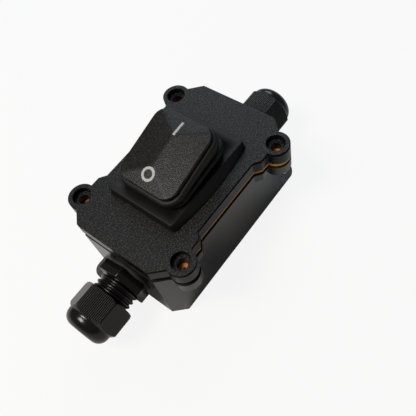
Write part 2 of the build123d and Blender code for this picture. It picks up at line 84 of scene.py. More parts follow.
# Rubber boot
LID_TOP = 38.5
BOOT_LENGTH = 41.6
BOOT_WIDTH = 32.0
BOOT_BOW = 1.9  # how far its long sides bulge at the foot
BOOT_FOOT_INSET = 0.55  # at the ends of the long sides
BOOT_TOP_INSET = (0.3, 1.1)  # along, across
BOOT_WALL_CURVE = 1.3  # how the wall's lean grows with its height
BOOT_WALL_STEPS = 8
BOOT_HEIGHT = 3.5
BOOT_CORNER = 1.3
BOOT_EDGE_ROUND = 0.45
LIP_GAP = 0.5
LIP_HEIGHT = 3.2
LIP_REACH = 1.5
LIP_ROUND = 1.2
FOLD_HEIGHT = 2.2
FOLD_ROUND = 0.9
NECK_INSET = 1.3
NECK_CLEARANCE = 0.4
BELLOWS_WALL = 1.3
LINER_SINK = 0.7  # how far the liner reaches down into the frame
LINER_RISE = 0.2  # how far it reaches up into the lip
LINER_STEPS = 12
FLANGE_LENGTH = 34.3
FLANGE_WIDTH = 26.3
FLANGE_CORNER = 3.15
FLANGE_HEIGHT = 2.0
CORNER_STEPS = 10
SIDE_STEPS = 14

# Glands, measured outwards from the end wall
WALL_X = 37.0
GLAND_HEIGHT = 15.7
ENTRY_RADIUS = 7.6
ENTRY_PITCH = 1.5
ENTRY_DEPTH = 0.6
THREAD_RADIUS = 7.9
THREAD_DEPTH = 0.85
THREAD_PITCH = 2.0
THREAD_SHARPNESS = 1.5  # above 1 the crests are wider than the valleys
THREAD_RUNOUT = 0.6  # over which a thread fades at its ends
LEAD_IN = 0.4
THREAD_AROUND = 128
THREAD_STEP = 0.14
INNER_END = -8.4
GLAND_FRONT = 18.0
GLAND_BORE = 4.6
MOUTH_RADIUS = 6.9
MOUTH_START = 8.6
HEX_FLATS = 18.4
HEX_START = 1.0
HEX_LENGTH = 4.3
HEX_TURN = 20.8
HEX_BEVEL = 0.2
HEX_ROOT = 1.2  # how far the hexagon reaches into the tube
HEX_AROUND = 240
HEX_FACE = math.pi / 3  # angle over one side of a hexagon, in radians
NUT_START = 11.4
NUT_RIM = (0.3, 0.6)  # upper end of the bevel at its start: along, inwards
NUT_SHOULDER = 22.1
NUT_SHOULDER_RUN = 1.6
NUT_END = 27.0
NUT_FLATS = 18.9
NUT_CORNER = 1.3
NOSE_RADIUS = 9.05
NOSE_ROUND = 4.2
NUT_BORE = 8.05
NUT_CONE_START = 22.7
NUT_CONE_END = 25.6
NUT_MOUTH = 4.7
NUT_MOUTH_BEVEL = 0.3
NUT_SIDE_STEPS = 6
NUT_SHOULDER_STEPS = 12
NUT_NOSE_STEPS = 12
NUT_AROUND = 960
RIB_PITCH = 0.68
RIB_COUNT = 16
RIB_DEPTH = 0.34
NUT_AS_LEFT = {"near": (0.0, 46.5), "far": (3.5, 58.4)}  # distance screwed in, angle of its corners

# Heights between which shade is painted black on the case: the groove round the lid and the gap under the
# gasket
LID_GROOVE_SHADE = (37.35, 38.15)
SEAM_GAP_SHADE = (30.15, 31.6)
PAINTED_SHADE_SOFTNESS = 0.05

# Gasket as it lies: it stands in at the near end and a little along the long sides, and its holes are small
EAR_X = 27.5
EAR_Y = 23.5
EAR_RANGE = 5.0  # within which a place counts as part of an ear
GASKET_HOLE = 1.3
GASKET_PIERCING = 0.5
HOLE_MARGIN = 1.1
GASKET_RECESS = 0.75
RECESS_START_X = -22.0
RECESS_FULL_X = -25.0
LONG_SIDE_RECESS = 0.35  # share of the recess along the long sides
LEAST_MITRE = 0.5
SIDE_FACE = 0.5  # greatest upward part of the normal on a face of its edge

# Bevels of the solids that show, and how sharp an edge has to be to get one
SOFT_EDGES = {
    "lid": 0.3,
    "base_box": 0.25,
    "rocker": 0.15,
    "switch_housing": 0.15,
}
BEVEL_SEGMENTS = 2
BEVEL_ANGLE = 30.0
FLAT_ANGLE = 0.5
NORMAL_WEIGHT = 80

# Materials: UNIT and REVERSED are the whole range of a share, up and down
UNIT = (0.0, 1.0)
REVERSED = (1.0, 0.0)
NOISE_MIDDLE = (0.3, 0.7)  # where most of a noise texture's values lie
LOOKS_UP = (0.6, 0.9)  # upward part of the normal on faces that begin to look up, and that do
WALL_GRAIN = 0.06  # share of the grain's height that the walls have
WALL_ROUGHNESS = 0.6  # share of its roughness
# Painted glints: pale flecks in the base colour where the grain would catch the lamps; the walls keep only a
# share of them
WALL_GLINT_SHARE = 0.3  # share of its specks
PAINTED_GLINT_RANGE = (0.48, 0.68)
CASE_GLINT_SCALE = 2000.0
FINE_GLINT_SCALE = 2700.0
# The nylon takes its painted highlight where this attribute is high
CREST = "crest"  # mesh attribute that is 1 on the crests of the nuts' ribs
CREST_SHARPNESS = 2.5
NYLON_GLOSS = 0.34
INK_ROUGHNESS = 0.55

# Stage
WHITE_TO_CAMERA = 0.88  # how much of the floor's look is plain white, the rest being lit and shadowed
WHITE_IN_GLOSS = 0.05
FLOOR_HALF = 3000.0
FLOOR_TONE = (0.62, 0.62, 0.62)
FLOOR_ROUGHNESS = 0.9
BACKDROP_TONE = (0.955, 0.955, 0.955)
ROOM_STRENGTH = 0.13
ROOM_WARM = (1.0, 0.93, 0.88)
ROOM_COOL = (0.75, 1.0, 1.15)
ROOM_TURN = (0.1, 0.6)  # part of a direction along x at which the room turns from warm to cool

# Lamps, in metres: place, size, power and colour
LAMP_TARGET = (0, 0, 0.03)
LAMPS = {
    "key": ((-0.28, 0.11, 0.56), 0.22, 3.1, (1, 0.94, 0.89)),
    "window": ((0.36, 0.27, 0.43), 0.36, 1.5, (0.82, 0.93, 1.0)),
}

# Camera, in metres, as fitted to the photograph
CAMERA_PLACE = Vector((-0.0613, -0.0904, 0.1833))
CAMERA_TARGET = Vector((-0.00696, -0.01902, 0.0385))
CAMERA_ROLL = -17.86
CAMERA_LENS = 43.47
CAMERA_SENSOR = 36.0
CAMERA_CLIP_START = 0.005


# Node trees


def fill(tree, node, inputs):
    """Sets each named input of a node to a number or a colour, or links it to a socket."""
    for name, value in inputs.items():
        if isinstance(value, bpy.types.NodeSocket):
            tree.links.new(value, node.inputs[name])
        else:
            node.inputs[name].default_value = (*value, 1) if isinstance(value, tuple) else value


def coordinates(tree, kind="Object"):
    """Texture coordinates of a kind."""
    return tree.nodes.new("ShaderNodeTexCoord").outputs[kind]


def part_along(tree, vector, axis):
    """One part of a vector."""
    split = tree.nodes.new("ShaderNodeSeparateXYZ")
    fill(tree, split, {"Vector": vector})
    return split.outputs[axis]


def noise(tree, place, scale, detail=2.0, roughness=0.5):
    """Noise texture whose scale is in features per metre."""
    texture = tree.nodes.new("ShaderNodeTexNoise")
    fill(tree, texture, {"Vector": place, "Scale": scale, "Detail": detail, "Roughness": roughness})
    return texture.outputs["Fac"]


def spread(tree, value, old, new):
    """Maps one range of values to another one, clamped."""
    mapped = tree.nodes.new("ShaderNodeMapRange")
    fill(tree, mapped, {
        "Value": value, "From Min": old[0], "From Max": old[1], "To Min": new[0], "To Max": new[1]})
    return mapped.outputs["Result"]


def uneven(tree, pattern, level, least, most):
    """Value that goes with a noise pattern from one share of a level to another."""
    return spread(tree, pattern, NOISE_MIDDLE, (level * least, level * most))


def calculate(tree, operation, first, second):
    """Result of an operation on two values."""
    node = tree.nodes.new("ShaderNodeMath")
    node.operation = operation
    fill(tree, node, {0: first, 1: second})
    return node.outputs["Value"]


def two_tone(tree, share, first, second):
    """Colour between two colours."""
    ramp = tree.nodes.new("ShaderNodeMix")
    ramp.data_type = "RGBA"
    fill(tree, ramp, {"Factor": share, "A": first, "B": second})
    return ramp.outputs["Result"]


def bump(tree, height, distance):
    """Normal of a bump whose greatest height is given in metres."""
    node = tree.nodes.new("ShaderNodeBump")
    fill(tree, node, {"Height": height, "Distance": distance})
    return node.outputs["Normal"]


# Materials


def new_material(name):
    """An empty node material: (material, its tree, its Principled shader)."""
    material = bpy.data.materials.new(name)
    material.use_nodes = True
    tree = material.node_tree
    return material, tree, tree.nodes["Principled BSDF"]


def painted_gap_shade(tree, place, gap, colour, rough):
    """Colour and roughness with painted shade: black and dull between two heights, where a groove or gap
    lies in shade.
    """
    low, high = (level * MM for level in gap)
    soft = PAINTED_SHADE_SOFTNESS * MM
    height = part_along(tree, place, "Z")
    above = spread(tree, height, (low - soft, low), UNIT)
    below = spread(tree, height, (high, high + soft), REVERSED)
    inside = calculate(tree, "MULTIPLY", above, below)
    shade = tree.nodes.new("ShaderNodeVectorMath")
    shade.operation = "SCALE"
    fill(tree, shade, {0: colour, "Scale": spread(tree, inside, UNIT, REVERSED)})
    return shade.outputs["Vector"], calculate(tree, "MAXIMUM", rough, inside)


def moulded_plastic(
        name, dark, light, roughness, grain_scale, grain_height, gloss=0.5, glint_scale=FINE_GLINT_SCALE,
        upward_grain_and_glints=False, gap=None):
    """Black moulding with a fine grain and painted glints, pale flecks in its colour where the grain would
    catch the lamps. With upward_grain_and_glints it is strong only on the faces that look up, and the walls
    get fewer painted glints, which paints the tops lighter.
    gap gives two heights in millimetres between which painted shade makes the surface dull and black."""
    material, tree, shader = new_material(name)
    place = coordinates(tree)
    height = noise(tree, place, grain_scale, detail=3.0, roughness=0.6)
    # painted glints: pale flecks standing in for the grain catching the lamps
    glint_specks = spread(tree, noise(tree, place, glint_scale, detail=1.5), PAINTED_GLINT_RANGE, UNIT)
    if upward_grain_and_glints:
        upward = spread(tree, part_along(tree, coordinates(tree, "Normal"), "Z"), LOOKS_UP, UNIT)
        height = calculate(tree, "MULTIPLY", height, spread(tree, upward, UNIT, (WALL_GRAIN, 1.0)))
        # fewer painted glints on the walls, so the tops are painted lighter
        glint_specks = calculate(tree, "MULTIPLY", glint_specks, spread(tree, upward, UNIT, (WALL_GLINT_SHARE, 1.0)))
        rough = spread(tree, upward, UNIT, (roughness * WALL_ROUGHNESS, roughness))
    else:
        broad = noise(tree, place, scale=60.0, detail=3.0)
        rough = uneven(tree, broad, roughness, least=0.92, most=1.08)
    colour = two_tone(tree, glint_specks, dark, light)
    # painted shade: black and dull where the groove or the gap under the gasket lies in shade
    if gap:
        colour, rough = painted_gap_shade(tree, place, gap, colour, rough)
    fill(tree, shader, {
        "Base Color": colour,
        "Roughness": rough,
        "Normal": bump(tree, height, grain_height),
        "Specular IOR Level": gloss,
    })
    return material


def case_plastic(name, gap, gloss):
    """Grained moulding of the case's two halves, with painted black shade between the heights of gap."""
    # the pale tone is that of the painted glints
    return moulded_plastic(
        name, (0.0006, 0.0006, 0.0006), (0.042, 0.041, 0.04), roughness=0.4, grain_scale=2000.0,
        grain_height=0.0002, gloss=gloss, glint_scale=CASE_GLINT_SCALE, upward_grain_and_glints=True, gap=gap)


def smooth_nylon(name, dark, light, roughness, crest_highlight):
    """Glossy nylon with a faint flow pattern and fine dust flecks, and a painted highlight, a paler colour,
    where a mesh says crest.
    """
    material, tree, shader = new_material(name)
    place = coordinates(tree)
    flow = noise(tree, place, scale=180.0, detail=4.0, roughness=0.55)
    dust = noise(tree, place, scale=2600.0)
    crest = tree.nodes.new("ShaderNodeAttribute")
    crest.attribute_name = CREST
    # painted highlight: the crests of the ribs take the pale crest colour
    fill(tree, shader, {
        "Base Color": two_tone(tree, crest.outputs["Fac"], two_tone(tree, flow, dark, light), crest_highlight),
        "Roughness": uneven(tree, flow, roughness, least=0.85, most=1.2),
        "Normal": bump(tree, dust, distance=0.000006),
        "Specular IOR Level": NYLON_GLOSS,
    })
    return material


def rubber(name, dark, light, roughness, gloss=0.5):
    """Matt rubber with a velvety grain."""
    material, tree, shader = new_material(name)
    place = coordinates(tree)
    broad = noise(tree, place, scale=120.0, detail=4.0, roughness=0.6)
    fine = noise(tree, place, scale=3200.0, roughness=0.6)
    fill(tree, shader, {
        "Base Color": two_tone(tree, broad, dark, light),
        "Roughness": uneven(tree, fine, roughness, least=0.92, most=1.05),
        "Normal": bump(tree, fine, distance=0.00002),
        "Specular IOR Level": gloss,
    })
    return material


def metal(name, dark, light, roughness):
    """Drawn or stamped metal with fine streaks."""
    material, tree, shader = new_material(name)
    streaks = noise(tree, coordinates(tree), scale=900.0, detail=3.0, roughness=0.6)
    fill(tree, shader, {
        "Base Color": two_tone(tree, streaks, dark, light),
        "Roughness": uneven(tree, streaks, roughness, least=0.8, most=1.2),
        "Normal": bump(tree, streaks, distance=0.00001),
        "Metallic": 1.0,
    })
    return material


def print_ink(name, dark, light):
    """Pale pad-printed ink, slightly uneven."""
    material, tree, shader = new_material(name)
    patches = noise(tree, coordinates(tree), scale=1500.0, detail=3.0, roughness=0.6)
    fill(tree, shader, {
        "Base Color": two_tone(tree, patches, dark, light),
        "Roughness": INK_ROUGHNESS,
        "Normal": bump(tree, patches, distance=0.00001),
    })
    return material


# Painted shade: the lid is black in its groove and the base in the gap under the gasket
lid_plastic = case_plastic("lid_plastic", LID_GROOVE_SHADE, gloss=0.2)
base_plastic = case_plastic("base_plastic", SEAM_GAP_SHADE, gloss=0.65)
# the pale tones of the rocker and the housing are those of their painted glints
rocker_plastic = moulded_plastic(
    "rocker_plastic", (0.0008, 0.00075, 0.0007), (0.024, 0.0225, 0.021), roughness=0.37,
    grain_scale=2000.0, grain_height=0.00012, gloss=0.27)
housing_plastic = moulded_plastic(
    "housing_plastic", (0.008, 0.008, 0.008), (0.015, 0.015, 0.015), roughness=0.5,
    grain_scale=3000.0, grain_height=0.00003)
# the pale third colour is the painted highlight on the crests of the nuts' ribs
gland_nylon = smooth_nylon(
    "gland_nylon", (0.003, 0.0028, 0.0028), (0.0055, 0.0052, 0.0052), roughness=0.2,
    crest_highlight=(0.06, 0.057, 0.054))
boot_rubber = rubber(
    "boot_rubber", (0.003, 0.0028, 0.0026), (0.007, 0.0066, 0.0062), roughness=0.55, gloss=0.26)
gland_rubber = rubber("gland_rubber", (0.012, 0.012, 0.012), (0.02, 0.02, 0.02), roughness=0.7)
gasket_rubber = rubber("gasket_rubber", (0.38, 0.17, 0.035), (0.47, 0.22, 0.05), roughness=0.6, gloss=0.35)
spring_steel = metal("spring_steel", (0.45, 0.45, 0.46), (0.6, 0.6, 0.61), roughness=0.3)
terminal_brass = metal("terminal_brass", (0.62, 0.45, 0.16), (0.75, 0.56, 0.24), roughness=0.3)
contact_silver = metal("contact_silver", (0.7, 0.69, 0.66), (0.82, 0.81, 0.78), roughness=0.25)
mark_ink = print_ink("mark_ink", (0.34, 0.34, 0.34), (0.46, 0.46, 0.46))

slot_materials = {
    "case": lid_plastic,
    "gasket": gasket_rubber,
    "housing": housing_plastic,
    "rocker": rocker_plastic,
    "boot": boot_rubber,
    "gland": gland_nylon,
    "gland_rubber": gland_rubber,
    "spring_steel": spring_steel,
    "terminal_brass": terminal_brass,
    "contact_silver": contact_silver,
}


# Solids of the frame


def dress(piece, material):
    """Gives a piece one material, smoothly shaded."""
    piece.data.materials.clear()
    piece.data.materials.append(material)
    for polygon in piece.data.polygons:
        polygon.use_smooth = True


def soften(piece, width):
    """Rounds the sharp edges of a solid by modifiers, with its own vertices as they are."""
    weld = piece.modifiers.new("Weld", "WELD")
    weld.merge_threshold = WELD_DISTANCE
    flat = piece.modifiers.new("Flat", "DECIMATE")
    flat.decimate_type = "DISSOLVE"
    flat.angle_limit = math.radians(FLAT_ANGLE)
    bevel = piece.modifiers.new("Bevel", "BEVEL")
    bevel.width = width * MM
    bevel.segments = BEVEL_SEGMENTS
    bevel.limit_method = "ANGLE"
    bevel.angle_limit = math.radians(BEVEL_ANGLE)
    bevel.use_clamp_overlap = True
    normals = piece.modifiers.new("Normals", "WEIGHTED_NORMAL")
    normals.keep_sharp = True
    normals.weight = NORMAL_WEIGHT


for row in frame["record"]["subparts"]:
    dress(frame["nodes"][row["node"]], slot_materials[row["material_slot"]])
dress(frame["nodes"]["base_box"], base_plastic)
for node, width in SOFT_EDGES.items():
    soften(frame["nodes"][node], width)


# Tools for the new pieces


def add_object(name, data):
    """New object in the scene."""
    made = bpy.data.objects.new(name, data)
    bpy.context.scene.collection.objects.link(made)
    return made


def finish_piece(piece, material, body=None):
    """Common last steps of a new piece: its material, smooth shading and, where given, its body. One without
    a body is left without a parent.
    """
    dress(piece, material)
    if body:
        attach(piece, body)


def mesh_piece(name, points, faces, matrix=Matrix.Identity(4)):
    """New object from points in millimetres and faces."""
    mesh = bpy.data.meshes.new(name)
    mesh.from_pydata([matrix @ (Vector(point) * MM) for point in points], [], faces)
    mesh.validate()
    mesh.update()
    return add_object(name, mesh)


def piece_from_work(name, work):
    """New object from a bmesh, which is freed."""
    mesh = bpy.data.meshes.new(name)
    work.to_mesh(mesh)
    work.free()
    return add_object(name, mesh)


def outward_faces(piece):
    """Turns all faces outwards."""
    work = bmesh.new()
    work.from_mesh(piece.data)
    bmesh.ops.recalc_face_normals(work, faces=work.faces)
    work.to_mesh(piece.data)
    work.free()


def raised(height):
    """Frame at a height."""
    return Matrix.Translation((0, 0, height * MM))


def leaning(angle, origin):
    """Frame whose x axis rises by an angle in radians, with its origin at a place in metres."""
    return Matrix.Translation(origin) @ Matrix.Rotation(-angle, 4, "Y")


def grid_faces(rows, columns, close_rows=False):
    """Quads over a grid of points, row by row. Each row is closed, and the last one meets the first where
    asked."""
    faces = []
    for row in range(rows if close_rows else rows - 1):
        following = (row + 1) % rows
        for column in range(columns):
            beside = (column + 1) % columns
            faces.append((
                row * columns + column,
                row * columns + beside,
                following * columns + beside,
                following * columns + column,
            ))
    return faces


def arc(centre, radius, start, end, steps=5):
    """Points on an arc."""
    angles = [math.radians(start + (end - start) * step / steps) for step in range(steps + 1)]
    return [(centre[0] + radius * math.cos(angle), centre[1] + radius * math.sin(angle)) for angle in angles]


def line(start, end, steps):
    """Points on a straight line after its start."""
    return [tuple(a + (b - a) * step / steps for a, b in zip(start, end)) for step in range(1, steps + 1)]


def round_angles(count):
    """Angles evenly spaced round a circle, in radians."""
    return [2 * math.pi * step / count for step in range(count)]


def round_point(radius, angle, height):
    """Point at a radius and an angle about the z axis."""
    return (radius * math.cos(angle), radius * math.sin(angle), height)


def circle(count, radius, height):
    """Points on a circle about the z axis."""
    return [round_point(radius, angle, height) for angle in round_angles(count)]


def rounded_rectangle(half_length, half_width, corner, bow=0.0):
    """Points and outward normals round a rounded rectangle, its long sides bowed out."""
    centres = [
        (half_length - corner, half_width - corner, 0),
        (corner - half_length, half_width - corner, 90),
        (corner - half_length, corner - half_width, 180),
        (half_length - corner, corner - half_width, 270),
    ]
    path = []
    for number, (x, y, start) in enumerate(centres):
        for step in range(CORNER_STEPS + 1):
            angle = math.radians(start + 90 * step / CORNER_STEPS)
            normal = (math.cos(angle), math.sin(angle))
            path.append((x + corner * normal[0], y + corner * normal[1], *normal))
        end_x, end_y, *normal = path[-1]
        next_x, next_y, next_start = centres[(number + 1) % len(centres)]
        next_angle = math.radians(next_start)
        goal = (next_x + corner * math.cos(next_angle), next_y + corner * math.sin(next_angle))
        for place in line((end_x, end_y), goal, SIDE_STEPS)[:-1]:
            path.append((*place, *normal))
    bowed = []
    for x, y, *normal in path:
        swell = bow * (1 - min(1.0, abs(x) / half_length) ** 2)
        bowed.append((x, y + math.copysign(swell, y), *normal))
    return bowed


def swept_ring(name, path, profile, matrix):
    """Closed ring: a profile of (outward, upward) points carried round a path."""
    points = [
        (x + side_x * outward, y + side_y * outward, upward)
        for outward, upward in profile
        for x, y, side_x, side_y in path
    ]
    return mesh_piece(name, points, grid_faces(len(profile), len(path), close_rows=True), matrix)


# Gasket


def lying_gasket():
    """Copy of the gasket's solid whose edge stands in and whose holes are small."""
    work = bmesh.new()
    work.from_mesh(frame["nodes"]["gasket"].data)
    bmesh.ops.remove_doubles(work, verts=work.verts, dist=WELD_DISTANCE)
    moves = []
    for vertex in work.verts:
        x, y, _ = vertex.co
        sides = [face.normal for face in vertex.link_faces if abs(face.normal.z) < SIDE_FACE]
        ear = Vector((math.copysign(EAR_X, x), math.copysign(EAR_Y, y), 0)) * MM
        from_ear = Vector((x - ear.x, y - ear.y, 0))
        if from_ear.length < HOLE_MARGIN * GASKET_HOLE * MM:
            moves.append((vertex, from_ear * (GASKET_PIERCING / GASKET_HOLE - 1)))
            continue
        outward = sum(sides, Vector()).normalized()
        inner_edge = outward.dot(Vector((x, y, 0))) < 0
        if inner_edge and from_ear.length > EAR_RANGE * MM:
            continue
        share = (x / MM - RECESS_START_X) / (RECESS_FULL_X - RECESS_START_X)
        share = min(1.0, max(LONG_SIDE_RECESS if x < -RECESS_START_X * MM else 0.0, share))
        mitre = max(LEAST_MITRE, min(outward.dot(side) for side in sides))
        moves.append((vertex, -outward * GASKET_RECESS * MM * share / mitre))
    for vertex, move in moves:
        vertex.co += move
    return piece_from_work("gasket_as_it_lies", work)


gasket = lying_gasket()
finish_piece(gasket, gasket_rubber, "case")
for polygon in gasket.data.polygons:
    polygon.use_smooth = False
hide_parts("gasket")


# Rubber boot: frame on the lid, liner, one fold and the lip that follows the rocker


tilt = math.radians(OFF_TILT)
rocker_frame = leaning(tilt, Vector((0, 0, PIVOT_HEIGHT)) * MM)

neck_inset = NECK_INSET - NECK_CLEARANCE
neck_path = rounded_rectangle(
    PADDLE_LENGTH / 2 - neck_inset, PADDLE_WIDTH / 2 - neck_inset, PADDLE_CORNER - neck_inset)
ring_reach = LIP_REACH + neck_inset
lip_bottom = RIM_HEIGHT - PADDLE_EDGE - LIP_GAP - LIP_HEIGHT
boot_top = LID_TOP + BOOT_HEIGHT


def ring_profile(height, round_radius):
    """Ring section that reaches from the neck's opening out, with rounded outer edges."""
    outer = ring_reach - round_radius
    return [
        (0, 0),
        *arc((outer, round_radius), round_radius, -90, 0),
        *arc((outer, height - round_radius), round_radius, 0, 90),
        (0, height),
    ]


lip = swept_ring(
    "boot_lip", neck_path, ring_profile(LIP_HEIGHT, LIP_ROUND), rocker_frame @ raised(lip_bottom))
outward_faces(lip)
finish_piece(lip, boot_rubber, "rocker")

lip_origin = rocker_frame @ Vector((0, 0, lip_bottom * MM))
fold_centre = (Vector((0, 0, boot_top * MM)) + lip_origin) / 2
fold = swept_ring(
    "boot_fold", neck_path, ring_profile(FOLD_HEIGHT, FOLD_ROUND),
    leaning(tilt / 2, fold_centre) @ raised(-FOLD_HEIGHT / 2))
outward_faces(fold)
finish_piece(fold, boot_rubber)
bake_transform(fold)


def liner():
    """Thin wall of the bellows, from the frame on the lid up to the lip: its outside up, its inside down."""
    low_frame = raised(boot_top - LINER_SINK)
    high_frame = rocker_frame @ raised(lip_bottom + LINER_RISE)
    upwards = [step / LINER_STEPS for step in range(LINER_STEPS + 1)]
    points = []
    for wall, shares in ((BELLOWS_WALL, upwards), (0.0, upwards[::-1])):
        for share in shares:
            for x, y, side_x, side_y in neck_path:
                flat = Vector((x + side_x * wall, y + side_y * wall, 0)) * MM
                points.append((low_frame @ flat).lerp(high_frame @ flat, share) / MM)
    return mesh_piece("boot_liner", points, grid_faces(2 * len(upwards), len(neck_path), close_rows=True))


bellows = liner()
outward_faces(bellows)
finish_piece(bellows, boot_rubber)
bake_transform(bellows)


def boot_frame_rows():
    """Rows of points of the boot's frame, from its outer foot over the top and down inside."""
    foot = rounded_rectangle(BOOT_LENGTH / 2, BOOT_WIDTH / 2 - BOOT_FOOT_INSET, BOOT_CORNER, bow=BOOT_BOW)
    top = rounded_rectangle(
        BOOT_LENGTH / 2 - BOOT_TOP_INSET[0], BOOT_WIDTH / 2 - BOOT_TOP_INSET[1], BOOT_CORNER)
    seat = rounded_rectangle(FLANGE_LENGTH / 2, FLANGE_WIDTH / 2, FLANGE_CORNER)
    edge_start = BOOT_HEIGHT - BOOT_EDGE_ROUND
    rows = []
    for step in range(BOOT_WALL_STEPS):
        lean = (step / BOOT_WALL_STEPS) ** BOOT_WALL_CURVE
        rows.append([
            (x + (top_x - x) * lean, y + (top_y - y) * lean, edge_start * step / BOOT_WALL_STEPS)
            for (x, y, _, _), (top_x, top_y, _, _) in zip(foot, top)
        ])
    for inset, height in arc((-BOOT_EDGE_ROUND, edge_start), BOOT_EDGE_ROUND, 0, 90):
        rows.append([(x + side_x * inset, y + side_y * inset, height) for x, y, side_x, side_y in top])
    for path, height in (
            (neck_path, BOOT_HEIGHT), (neck_path, FLANGE_HEIGHT), (seat, FLANGE_HEIGHT), (seat, 0)):
        rows.append([(x, y, height) for x, y, _, _ in path])
    return rows


boot_rows = boot_frame_rows()
boot_frame = mesh_piece(
    "boot_frame", sum(boot_rows, []), grid_faces(len(boot_rows), len(neck_path), close_rows=True),
    raised(LID_TOP))
outward_faces(boot_frame)
finish_piece(boot_frame, boot_rubber, "case")
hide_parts("rubber_boot")


# Marks on the paddle


def soft_least(first, second):
    """The smaller of two heights, rounded off where they are nearly equal."""
    share = max(0.0, RIDGE_BLEND - abs(first - second)) / RIDGE_BLEND
    return min(first, second) - share ** 2 * RIDGE_BLEND / 4


def on_crown(x, y, lift):
    """Point over the paddle's hipped crown, lifted off it."""
    half_width = PADDLE_WIDTH / 2
    along = (PADDLE_LENGTH / 2 - abs(x)) * CROWN / RIDGE_INSET
    across = soft_least((half_width - y) * CROWN / half_width, (half_width + y) * CROWN / half_width)
    return (x, y, RIM_HEIGHT + soft_least(along, across) + lift)


def ring_mark():
    """The O at the OFF end, its upper side outwards and its lower side inwards."""
    radii = [
        RING_INNER + (RING_OUTER - RING_INNER) * step / RING_ACROSS for step in range(RING_ACROSS + 1)]
    points = []
    for lift, order in ((MARK_LIFT, radii), (-MARK_LIFT, radii[::-1])):
        for radius in order:
            for x, y, _ in circle(RING_AROUND, radius, 0):
                points.append(on_crown(RING_CENTRE_X + x, y, lift))
    faces = grid_faces(2 * len(radii), RING_AROUND, close_rows=True)
    return mesh_piece("mark_o", points, faces, rocker_frame)


def bar_mark():
    """The I at the ON end: a flat section carried along, with both ends closed."""
    section = [
        (-BAR_HALF_WIDTH, -MARK_LIFT), (-BAR_HALF_WIDTH, MARK_LIFT), (0, MARK_LIFT),
        (BAR_HALF_WIDTH, MARK_LIFT), (BAR_HALF_WIDTH, -MARK_LIFT), (0, -MARK_LIFT),
    ]
    points = []
    for step in range(BAR_STEPS + 1):
        x = BAR_START_X + (BAR_END_X - BAR_START_X) * step / BAR_STEPS
        points += [on_crown(x, y, lift) for y, lift in section]
    faces = grid_faces(BAR_STEPS + 1, len(section))
    faces.append(tuple(range(len(section))))
    faces.append(tuple(range(len(points) - len(section), len(points))))
    return mesh_piece("mark_i", points, faces, rocker_frame)


for printed in (ring_mark(), bar_mark()):
    outward_faces(printed)
    finish_piece(printed, mark_ink, "rocker")


# Glands


def gland_frame(side):
    """Frame on the end wall: z outwards, x across the box."""
    axes = Matrix((
        (0, 0, side, 0),
        (side, 0, 0, 0),
        (0, 1, 0, 0),
        (0, 0, 0, 1),
    ))
    return Matrix.Translation(Vector((side * WALL_X, 0, GLAND_HEIGHT)) * MM) @ axes


def threaded_radius(height, angle):
    """Radius of the gland body: entry thread inside the box, coarser rounded nut thread outside."""
    if height < HEX_START:
        crest, pitch, depth, start, end = ENTRY_RADIUS, ENTRY_PITCH, ENTRY_DEPTH, INNER_END, 0.0
    else:
        crest, pitch, depth, start, end = THREAD_RADIUS, THREAD_PITCH, THREAD_DEPTH, HEX_START, GLAND_FRONT
    wave = 0.5 - 0.5 * math.cos(2 * math.pi * height / pitch - angle)
    runout = min(1.0, max(0.0, min(height - start, end - height) / THREAD_RUNOUT))
    to_end = min(GLAND_FRONT - height, height - INNER_END)
    return crest - depth * wave ** THREAD_SHARPNESS * runout - max(0.0, LEAD_IN - to_end)


def threaded_tube(matrix):
    """Tube of the gland body, threaded outside, with the wide mouth of its bore in front."""
    length = GLAND_FRONT - INNER_END
    levels = round(length / THREAD_STEP)
    points = []
    for level in range(levels + 1):
        height = INNER_END + length * level / levels
        points += [
            round_point(threaded_radius(height, angle), angle, height)
            for angle in round_angles(THREAD_AROUND)
        ]
    bore = [
        (GLAND_FRONT, MOUTH_RADIUS), (MOUTH_START, MOUTH_RADIUS), (MOUTH_START, GLAND_BORE),
        (INNER_END, GLAND_BORE),
    ]
    for height, radius in bore:
        points += circle(THREAD_AROUND, radius, height)
    faces = grid_faces(levels + 1 + len(bore), THREAD_AROUND, close_rows=True)
    return mesh_piece("tube", points, faces, matrix)


def hexagon_radius(angle, flats, turn):
    """Distance to a hexagon's side in the direction of the angle."""
    off = (angle - math.radians(turn)) % HEX_FACE - HEX_FACE / 2
    return flats / 2 / math.cos(off)


def hexagon_flange(matrix):
    """Hexagon of the gland body with a narrow bevel round both ends, its centre left open."""
    end = HEX_START + HEX_LENGTH
    points = circle(HEX_AROUND, ENTRY_RADIUS - HEX_ROOT, HEX_START)
    for height, inset in (
            (HEX_START, HEX_BEVEL), (HEX_START + HEX_BEVEL, 0), (end - HEX_BEVEL, 0), (end, HEX_BEVEL)):
        points += [
            round_point(hexagon_radius(angle, HEX_FLATS - 2 * inset, HEX_TURN), angle, height)
            for angle in round_angles(HEX_AROUND)
        ]
    points += circle(HEX_AROUND, ENTRY_RADIUS - HEX_ROOT, end)
    faces = grid_faces(len(points) // HEX_AROUND, HEX_AROUND, close_rows=True)
    return mesh_piece("flange", points, faces, matrix)


def gland_body(end, matrix):
    """Gland body: its threaded tube and its hexagon in one piece."""
    work = bmesh.new()
    for part in (threaded_tube(matrix), hexagon_flange(matrix)):
        work.from_mesh(part.data)
        bpy.data.objects.remove(part)
    body = piece_from_work(f"gland_{end}_body_threaded", work)
    outward_faces(body)
    return body


